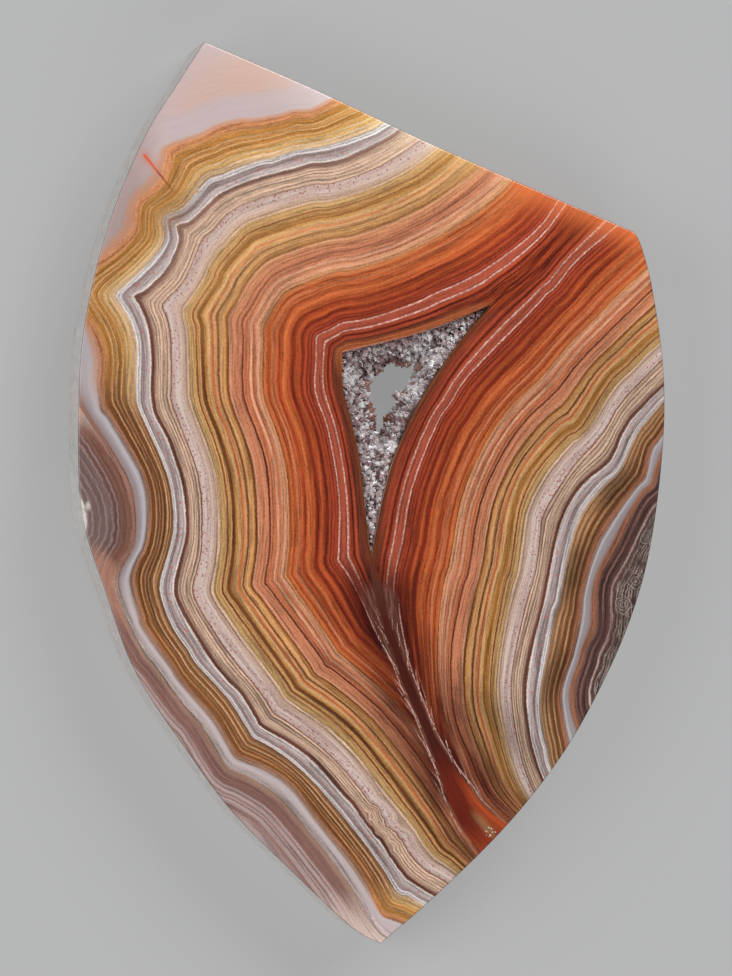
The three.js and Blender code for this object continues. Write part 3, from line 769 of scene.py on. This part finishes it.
def paintAgate(look):
    paint = Paint("bandedAgate")
    mix, ramp, patch, noise, vector = paint.mix, paint.ramp, paint.patch, paint.noise, paint.vector
    x, y, z, here = paint.places()
    east = paint.number("east") > 0
    west = 1 - east
    topGlow = paint.number("topGlow")

    # The depth, with its lines a little wavy, frayed, and folded in one place near the foot
    depth = paint.number("depthWest") * west + paint.number("depthEast") * east
    swirl = patch("swirl") * west * depth.within(3.1, 3.7, 4.6, 5.6)
    depth = depth + (noise(here, 1.4, 3) - 0.5) * look["waver"]
    depth = depth + (noise(here, 7, 2, 0.6) - 0.5) * look["fringe"]
    depth = depth + (noise(vector(x + 3, y, z), 0.8) - 0.5) * swirl * look["swirl"]

    # The lilac and amber zone in its four looks, blended by place
    top = (y + x * 0.3).ease(-0.5, 3.5) * west
    foot = y.ease(-19.2, -20.9) * west
    dusk = depth.ease(0.86, 0.78) * y.ease(13, 9) * top
    amberEast = (paint.patchwork(amberPatches) - 1) * depth.ease(0.9, 1.2) + 1
    colour = paint.layers(
        ramp(depth, lilacWest),
        (ramp(depth, lilacLow), y.ease(-3.2, -6.5)),
        (ramp(depth, lilacTop), top + foot),
        ("lilacBright", dusk),
        (paint.shaded(ramp(depth, lilacEast), amberEast), east))

    # Further in, and outside the lilac band
    for start, stops in innerZones.items():
        colour = mix(colour, ramp(depth, stops), depth > start)
    soft = ((y + x * 0.35).ease(3, 9) * west * 0.4 + topGlow * 0.3) * depth.within(2.9, 3.6, 10.4, 11.4)
    brownLine = depth.within(6.08, 6.16, 6.29, 6.37) * (east * 0.7 + y.ease(6, 12) * west * 0.5)
    colour = paint.layers(colour, (ramp(depth, blurred), soft), ("goldDeep", brownLine))
    duller = x.ease(-10.1, -12.2) * y.ease(8, 10) * depth.ease(0.86, 0.76)
    peachRow = depth.within(0.55, 0.75, 0.92, 1.0) * (y - x).ease(17, 21) * west
    colour = paint.layers(
        outerColour(paint, depth, east, look["eastEyes"]),
        (colour, depth > lilacStart),
        ("mauvePale", duller * 0.9),
        ("melonDeep", peachRow * 0.7),
        ("goldDeep", patch("gold") * 0.35))

    # Fine lines along the bands, dashes in them, and grain
    lines = paint.streaks(depth, 0.1, 5) - 0.5
    hair = paint.streaks(depth, 0.3, 11) - 0.5
    dash = paint.streaks(depth, 1.5, 15, 0.7) - 0.5
    grain = noise(here, 8, 2, 0.8) - 0.5

    # Between the two sets of bands above the hollow the stone is dark red, with their lines in it
    red = mix("wine", "mahogany", hair.ease(-0.1, 0.14))
    amber = depth.ease(12.68, 12.95) * y.within(5.5, 7, 9.2, 9.8) * west
    redEast = depth.within(12.55, 12.65, 12.88, 13.0) * east * y.ease(-3, -1)
    colour = paint.layers(
        colour,
        ("rosewood", redEast * 0.6),
        (red, depth.ease(12.5, 12.7) * y.ease(8.6, 9.6)),
        ("rimAmber", amber))

    # The lines are crisper below, softer near the top edge where the painted edge light washes them out,
    # and faint in the milky and pink zones
    crisp = y.ease(6, 2) * 0.3 + y.ease(-3, -9) * 0.2 + 0.7
    thin = hair.ease(-0.02, -0.1) * crisp * look["thinLines"]
    strength = 1 + depth.within(3.5, 3.6, 4.4, 4.5) * 0.25 - depth.within(4.45, 4.6, 5.2, 5.45) * 0.62
    fine = (dash * look["dashContrast"] + hair.ease(0.04, 0.12) * look["paleLines"] - thin) * strength
    fine = (fine + lines * look["lineContrast"]) * (1 - topGlow * 0.5) + grain * look["grainContrast"]
    milky = depth.ease(0.85, 0.75) * y.ease(2, 4) * west * 0.9
    calm = (depth.within(0.1, 0.3, 0.76, 0.88) * 0.85).atLeast(milky)
    calm = calm + depth.ease(lilacStart, -0.3) * y.ease(3.5, 2) * west * 0.55
    fine = (fine * (1 - calm) + 1).atLeast(look["darkestLine"])

    # Broad light and shade
    dim = depth.ease(2.66, 2.5) * y.ease(12.5, 8) * top * 0.19
    light = (y - x * 0.5).ease(-4, 22) * 0.12 - x.ease(-4, 14) * 0.07 - dim
    colour = paint.shaded(colour, fine * (light + paint.patchwork(lightPatches)))

    # The two pale lines round the hollow are beaded, and dots follow the bands: red ones behind
    # the white line, wine ones in the blush zone
    paleRows = depth.within(11.55, 11.59, 11.65, 11.69) + depth.within(12.02, 12.06, 12.14, 12.18)
    redDots = paint.cells(here, 3.0).ease(0.27, 0.14)
    wineDots = paint.cells(vector(x + 7, y, z), 5.5).ease(0.34, 0.18)
    colour = paint.layers(
        colour,
        ("brick", paleRows * noise(here, 5, 2, 0.7).ease(0.56, 0.42) * 0.6),
        ("ivory", depth.within(4.5, 4.6, 5.0, 5.25) * hair.ease(0.01, 0.09) * 0.5),
        ("redDot", redDots * depth.within(2.9, 2.98, 3.16, 3.24) * 0.6),
        ("wineDot", wineDots * depth.within(4.42, 4.5, 4.85, 5.1) * 0.7))
    colour = seamLayers(paint, colour, depth, east, look["seamShadow"])
    colour = crackLayers(paint, colour, look["crackStart"], look["crackSlope"], look["crackLength"])

    # Painted light in the thin edges, then the chamfer, the ground side and the sawn back
    colour = mix(colour, "edgeGlow", topGlow.ease(0.15, 0.85) * depth.ease(8.8, 10) * 0.5)
    glow = topGlow * (x.ease(-6, -1) * 0.5 + 0.2) + paint.number("rightGlow") * 0.2
    colour = paint.shaded(colour, glow * 0.5 + 1, glow * 0.65 + 1, glow * 0.6 + 1)
    # Painted shade: the chamfer's colour is darkened; it is also rougher and has no coat
    chamfer = z.ease(thickness - 0.001, thickness - 0.02)
    # The ground side shows the bands under a little mottled pale grey, and is painted mostly pale grey
    # towards the left edge as painted light
    ground = paint.number("ground") * z.ease(thickness - 0.02, thickness - 0.1)
    sawn = paint.number("sawn")
    mottle = noise(vector(x, y, z * 0.6), 2.2, 3, 0.7).ease(0.25, 0.8)
    colour = paint.layers(
        paint.shaded(colour, 1 - chamfer * 0.5),
        (mix("groundGrey", "groundEdge", mottle), ground * (paint.number("leftGlow") * 0.62 + 0.15)),
        ("backGrey", sawn * 0.2))

    rough = grain * 0.05 + ground * look["groundRoughness"] + sawn * look["sawnRoughness"]
    sawMarks = noise(vector(x * 0.15 + y * 0.1, y * 7, z), 1, 3, 0.6)
    relief = sawMarks * sawn + noise(here, 14, 3, 0.6) * (ground * 0.6 + 0.02)
    paint.feed(Base_Color=colour, Roughness=rough + chamfer * look["chamferRoughness"] + look["roughness"],
               Normal=paint.bump(relief, 0.5, look["relief"]), Coat_Weight=(1 - chamfer) * look["coat"],
               Coat_Roughness=0.06, IOR=1.54)
    return paint.material


print("painting the slab")
slab = makeAgate(agateValues)
slab.data.materials.append(paintAgate(agatePaint))


crystalSides = 6
crystalSize = 2 * crystalSides + 1  # corners of a crystal: root ring, shoulder ring and tip
druseValues = {
    "seed": 5,
    "wallOverlap": 0.03,  # the crust's edge is sunk this far in the stone
    "top": 4.72,
    "bottom": 0.3,
    "lipHeight": 2.7,
    "lip": 0.14,
    "lipReach": 0.4,
    "holeWiden": 0.2,  # the crystals at the hole's edge reach back in by about this
    "drop": 1.9,
    "slope": 0.75,
    "footFill": ((0.5, 3.4), (0.35, 1.0)),  # by height on the slice: the narrow foot is fuller
    "loopCounts": (700, 900, 500),
    "shellAround": (90, 120, 64),
    "shellRows": 12,
    # Groups of crystals: how many, which side, where between the wall (0) and the hole (1), radius,
    # length, height of the point over the radius, and whether they stand on the rim
    "groups": [
        (2600, 1, (0.03, 0.97), (0.04, 0.18), (0.02, 0.34), 1.15, False),
        (1300, -1, (0.03, 0.97), (0.04, 0.18), (0.02, 0.34), 1.15, False),
        (60, 1, (0.96, 1.0), (0.12, 0.28), (0.02, 0.12), 1.4, True),
        (60, -1, (0.96, 1.0), (0.12, 0.28), (0.02, 0.12), 1.4, True),
    ],
    "thinning": 0.62,  # share of the tries left out at the hole
    "step": 0.012,  # steps along the crust that give its slope
    "rimPoint": 0.9,  # how strongly the crystals on the rim point into the hole
    "mostlySmall": 2.2,  # the power of the random radius, which makes most crystals small
    "lean": 0.9,
    "root": 0.08,
    "narrow": 0.9,  # the shoulder's radius over the root's
    "lowest": 0.06,
    "highest": 4.92,
    # Crystals that are brown below are painted brown: it stands for shade on their faces with the agate
    # seen behind them
    "rimBrown": 0.9,
    "brownFrom": 0.88,  # from so far towards the hole some crystals are brown
    # The unit square that the surface is spread out on: the shell at its foot, the crystals above
    "chartEdge": 0.01,
    "shellChart": 0.14,
    "boxesFrom": 0.17,
    "boxesInRow": 59,
}


def crustLoops(crust):
    # Fine loops of the hollow's wall in the face and of the hole, matched side by side. The hole was
    # measured as the photograph shows it, so it moves east by the view's slope times its depth.
    counts = crust["loopCounts"]
    wall = insetLoop(loopOf(hollowSides, counts), -crust["wallOverlap"])
    hole = np.vstack([evenSteps(pointList(side), count) for side, count in zip(holeSides, counts)])
    hole = insetLoop(hole, -crust["holeWiden"], sharpest=0.8)
    east = math.tan(math.radians(photoTilt)) * (thickness - crust["lipHeight"])
    return wall, hole + [east, 0]


def crustPlaces(crust, loops, share, inward, side):
    # The crust's surface: flat, it goes straight from the wall to the hole. Its height drops from
    # the wall as 1 - exp(-distance / slope), and falls to the lip as exp(-(distance / reach)^2)
    # towards the hole's edge.
    wall, hole = loops
    if side < 0:
        wall = hollowMiddle + (wall - hollowMiddle) * backShrink
    at = np.mod(share, 1) * len(wall)
    first = at.astype(int) % len(wall)
    second = (first + 1) % len(wall)
    part = (at - np.floor(at))[:, None]
    start, end = (loop[first] + (loop[second] - loop[first]) * part for loop in (wall, hole))
    flat = start + (end - start) * inward[:, None]
    coarse = (np.vstack([loop[::12], loop[:1]]) for loop in (wall, hole))  # close enough to measure from
    toWall, toHole = (distanceTo(loop, flat) for loop in coarse)
    drop = crust["drop"] * (1 - np.exp(-toWall / crust["slope"]))
    drop = drop * np.interp(flat[:, 1], *crust["footFill"])
    slope = crust["top"] - drop if side > 0 else crust["bottom"] + drop
    edge = crust["lipHeight"] + side * crust["lip"]
    return np.column_stack([flat, slope + (edge - slope) * np.exp(-(toHole / crust["lipReach"]) ** 2)])


def crustShell(crust, loops):
    # A closed skin: down the face side of the crust to the hole, back along its other side, and
    # behind it along the wall
    around = sum(crust["shellAround"])
    share = np.arange(around) / around
    rows = np.linspace(0, 1, crust["shellRows"])
    rings = np.stack([crustPlaces(crust, loops, share, np.full(around, inward), side)
                      for side in (1, -1) for inward in rows[::side]])
    ring, spot = np.indices(rings.shape[:2])
    chart = np.stack([np.stack([spot + a, ring + b], axis=-1) for a, b in squareCorners], axis=2)
    edge = crust["chartEdge"]
    chart = chart / [around, len(rings)] * [1 - 2 * edge, crust["shellChart"]] + edge
    return rings.reshape(-1, 3), ringFaces(rings), chart.reshape(-1, 2)


def crystalPlaces(crust, loops, rng, count, side, stretch, onRim):
    # Roots spread evenly over the crust: tries near the hole, where the rings are short, are kept
    # less often. The axis leaves the surface at a right angle, with a random lean, and on the rim
    # it points into the hole.
    tries = count * 4
    low, high = stretch
    share, inward = rng.random(tries), low + (high - low) * rng.random(tries)
    kept = np.flatnonzero(rng.random(tries) < 1 - crust["thinning"] * inward)[:count]
    share, inward = share[kept], inward[kept]
    root = crustPlaces(crust, loops, share, inward, side)
    step = crust["step"]
    around = crustPlaces(crust, loops, share + step / 4, inward, side) - root
    across = crustPlaces(crust, loops, share, np.clip(inward - step, 0, 1), side) - root
    normal = unit(np.cross(across, around)) * side
    normal = np.where(normal[:, 2:] * side < 0, -normal, normal)
    axis = normal + (rng.random(normal.shape) - 0.5) * 2 * crust["lean"]
    if onRim:
        axis = axis - unit(across) * [crust["rimPoint"], crust["rimPoint"], 0]
    return root, unit(axis), inward


def crystalCorners(crust, root, axis, radius, length, spin, point):
    # Six-sided points: a ring of corners at the root, one at the shoulder, narrowed a little, and
    # the tip. Corner k of a ring stands at the angle spin + 60 degrees * k about the axis.
    someWay = [0.31, 0.87, 0.38]  # the sides are turned by it, and the spin turns them at random
    side = unit(np.cross(axis, someWay))
    other = np.cross(axis, side)
    angle = spin[:, None] + np.arange(crystalSides) * 2 * math.pi / crystalSides
    wheel = side[:, None] * np.cos(angle)[..., None] + other[:, None] * np.sin(angle)[..., None]
    wheel = wheel * radius[:, None, None]
    foot = (root - axis * crust["root"])[:, None] + wheel
    shoulder = (root + axis * length[:, None])[:, None] + wheel * crust["narrow"]
    tip = (root + axis * (length + radius * point)[:, None])[:, None]
    corners = np.concatenate([foot, shoulder, tip], axis=1)
    corners[..., 2] = np.clip(corners[..., 2], crust["lowest"], crust["highest"])
    return corners.reshape(-1, 3)


def crystalFaces(crust, count, base):
    # Six sides and six point faces a crystal, and their chart: every crystal has a small box of
    # its own in it, with its sides in a row and the points above them
    k = np.arange(crystalSides)
    following = (k + 1) % crystalSides
    shoulder = k + crystalSides
    sides = np.stack([k, following, following + crystalSides, shoulder], axis=1)
    points = np.stack([shoulder, following + crystalSides, np.full_like(k, 2 * crystalSides)], axis=1)
    first = base + np.arange(count)[:, None, None] * crystalSize
    edge, low, columns = crust["chartEdge"], crust["boxesFrom"], crust["boxesInRow"]
    box = np.array([(1 - 2 * edge) / columns, (1 - edge - low) / math.ceil(count / columns)])
    origin = np.stack([np.arange(count) % columns, np.arange(count) // columns], axis=1) * box + [edge, low]
    charts = []
    for corners in (((0, 0), (1, 0), (1, 0.6), (0, 0.6)), ((0, 0.6), (1, 0.6), (0.5, 1))):
        inBox = np.stack([np.stack([k + a, np.full_like(k, b, float)], axis=1) for a, b in corners], axis=1)
        inBox = inBox / [crystalSides + 0.5, 1.1] * box  # with a little room beside it
        charts.append((origin[:, None, None] + inBox).reshape(-1, 2))
    return (first + sides).reshape(-1, 4).tolist() + (first + points).reshape(-1, 3).tolist(), charts


def makeDruse(crust):
    rng = np.random.default_rng(crust["seed"])
    loops = crustLoops(crust)
    shell, shellFaces, shellChart = crustShell(crust, loops)
    corners = [shell]
    plain = np.zeros(len(shell))  # the shell has the same numbers all over
    numbers = {"tint": [plain + 0.3], "brown": [plain + 0.5], "height": [plain], "inward": [plain + 0.5]}
    for count, side, stretch, radii, lengths, point, onRim in crust["groups"]:
        root, axis, inward = crystalPlaces(crust, loops, rng, count, side, stretch, onRim)
        n = len(root)
        radius = radii[0] + (radii[1] - radii[0]) * rng.random(n) ** crust["mostlySmall"]
        length = lengths[0] + (lengths[1] - lengths[0]) * rng.random(n)
        spin = rng.random(n) * math.pi
        corners.append(crystalCorners(crust, root, axis, radius, length, spin, point))
        tint = rng.random(n)
        brown = np.maximum(onRim * crust["rimBrown"], (inward > crust["brownFrom"]) * rng.random(n))
        numbers["height"].append(np.tile([0.0] * crystalSides + [0.7] * crystalSides + [1.0], n))
        for key, each in {"tint": tint, "brown": brown, "inward": inward}.items():
            numbers[key].append(np.repeat(each, crystalSize))
    corners = np.vstack(corners)
    crystals, charts = crystalFaces(crust, (len(corners) - len(shell)) // crystalSize, len(shell))
    piece = newPiece("quartzDruse", corners, shellFaces.tolist() + crystals, "quartz_druse",
                     np.vstack([shellChart, *charts]),
                     {key: np.concatenate(parts) for key, parts in numbers.items()})
    smooth = np.arange(len(piece.data.polygons)) < len(shellFaces)
    piece.data.polygons.foreach_set("use_smooth", smooth)
    return piece


quartzPaint = {
    "roughness": 0.04,
    "transmission": 0.2,
    "ior": 1.54,
    "relief": 0.05,  # mm
    "tints": "quartzDark 0, quartzDull 0.3, quartzPale 0.5, quartzLight 0.7",
    # The whitest patches, given in the slab's way
    "whitestPatches": "-0.9 5.8 0.5 0.7 0 1.2 0.4, 2.7 6.8 0.9 0.9 0 1.2 0.4, "
               "0.8 2.3 0.7 0.4 0 1.2 0.4, 2.3 5.3 0.6 0.9 0 1.2 0.4",
}


def paintQuartz(look):
    paint = Paint("druseQuartz")
    here = paint.places()[-1]
    crystal = paint.ramp(paint.number("tint"), look["tints"])
    colour = paint.layers(
        # Towards its root each crystal keeps the darker root colour: partly its own, partly painted shade
        # between the crystals
        "quartzRoot",
        (crystal, paint.number("height").ease(-0.2, 0.75)),
        ("quartzRoot", paint.noise(here, 0.7, 3).ease(0.52, 0.68) * 0.4),
        # Crystals near the hollow's wall are painted a darker mauve grey: painted shade by the wall, with
        # the stone's colour seen through them
        ("quartzHaze", paint.number("inward").ease(0.3, 0.02) * 0.6),
        *(("quartzLight", paint.patch(place) * 0.7) for place in pointList(look["whitestPatches"]).tolist()),
        # Painted shade: crystals near the hole and on the rim are painted brown, with the agate seen behind
        # them
        ("quartzBrown", paint.number("brown").ease(0.4, 0.9) * 0.85))
    paint.feed(Base_Color=colour, Roughness=look["roughness"], Transmission_Weight=look["transmission"],
               IOR=look["ior"], Coat_Weight=1.0, Coat_Roughness=0.03,
               Normal=paint.bump(paint.noise(here, 7, 2, 0.6), 0.7, look["relief"]))
    return paint.material


print("growing the druse")
druse = makeDruse(druseValues)
druse.data.materials.append(paintQuartz(quartzPaint))


print("setting up the floor, the lights and the camera")
stageValues = {
    "floorSize": 4.0,  # metres
    "floorColour": linear(115, 116, 116),
    "floorGlow": 0.28,  # the floor is faintly lit from below
    "worldColour": linear(235, 237, 240),
    "worldStrength": 0.12,
    "target": (-0.25, 0.20),  # the point of the face in the middle of the photograph
    "distance": 260.0,
    "lens": 191.8,
    "clipStart": 0.001,
    # Square lights: bearing and height in degrees, size in metres and power
    "boxes": {"keyBox": (35, 42, 0.3, 1.9), "fillBox": (272, 40, 0.35, 1.4),
              "frontBox": (165, 38, 0.3, 0.9)},
    "boxDistance": 0.5,
}
half = stageValues["floorSize"] / 2
floorMesh = bpy.data.meshes.new("floor")
floorCorners = [((2 * a - 1) * half, (2 * b - 1) * half, 0) for a, b in squareCorners]
floorMesh.from_pydata(floorCorners, [], [range(4)])
floor = bpy.data.objects.new("floor", floorMesh)
sceneObjects.link(floor)
floorPaint = Paint("paleFloor")
floorPaint.feed(Base_Color=stageValues["floorColour"], Roughness=0.8, Specular_IOR_Level=0.2,
                Emission_Strength=stageValues["floorGlow"], Emission_Color=(1, 1, 1, 1))
floorMesh.materials.append(floorPaint.material)

for name, (bearing, height, size, power) in stageValues["boxes"].items():
    a, e = math.radians(bearing), math.radians(height)
    away = np.array([math.sin(a) * math.cos(e), math.cos(a) * math.cos(e), math.sin(e)])
    light = bpy.data.objects.new(name, bpy.data.lights.new(name, "AREA"))
    light.data.size = size
    light.data.energy = power
    light.location = (away * stageValues["boxDistance"]).tolist()
    light.rotation_euler = light.location.to_track_quat("Z", "Y").to_euler()
    sceneObjects.link(light)

world = bpy.data.worlds.new("studio")
bpy.context.scene.world = world
world.use_nodes = True
background = world.node_tree.nodes["Background"].inputs
background["Color"].default_value = stageValues["worldColour"]
background["Strength"].default_value = stageValues["worldStrength"]

camera = bpy.data.objects.new("camera", bpy.data.cameras.new("camera"))
sceneObjects.link(camera)
bpy.context.scene.camera = camera
camera.data.lens = stageValues["lens"]
camera.data.clip_start = stageValues["clipStart"]
slope = math.radians(photoTilt)
target = np.array([*(stageValues["target"] + originShift), thickness])
place = target + stageValues["distance"] * np.array([-math.sin(slope), 0, math.cos(slope)])
camera.location = (place * mm).tolist()
camera.rotation_euler = (0, -slope, 0)
bpy.context.scene.view_settings.view_transform = "Standard"
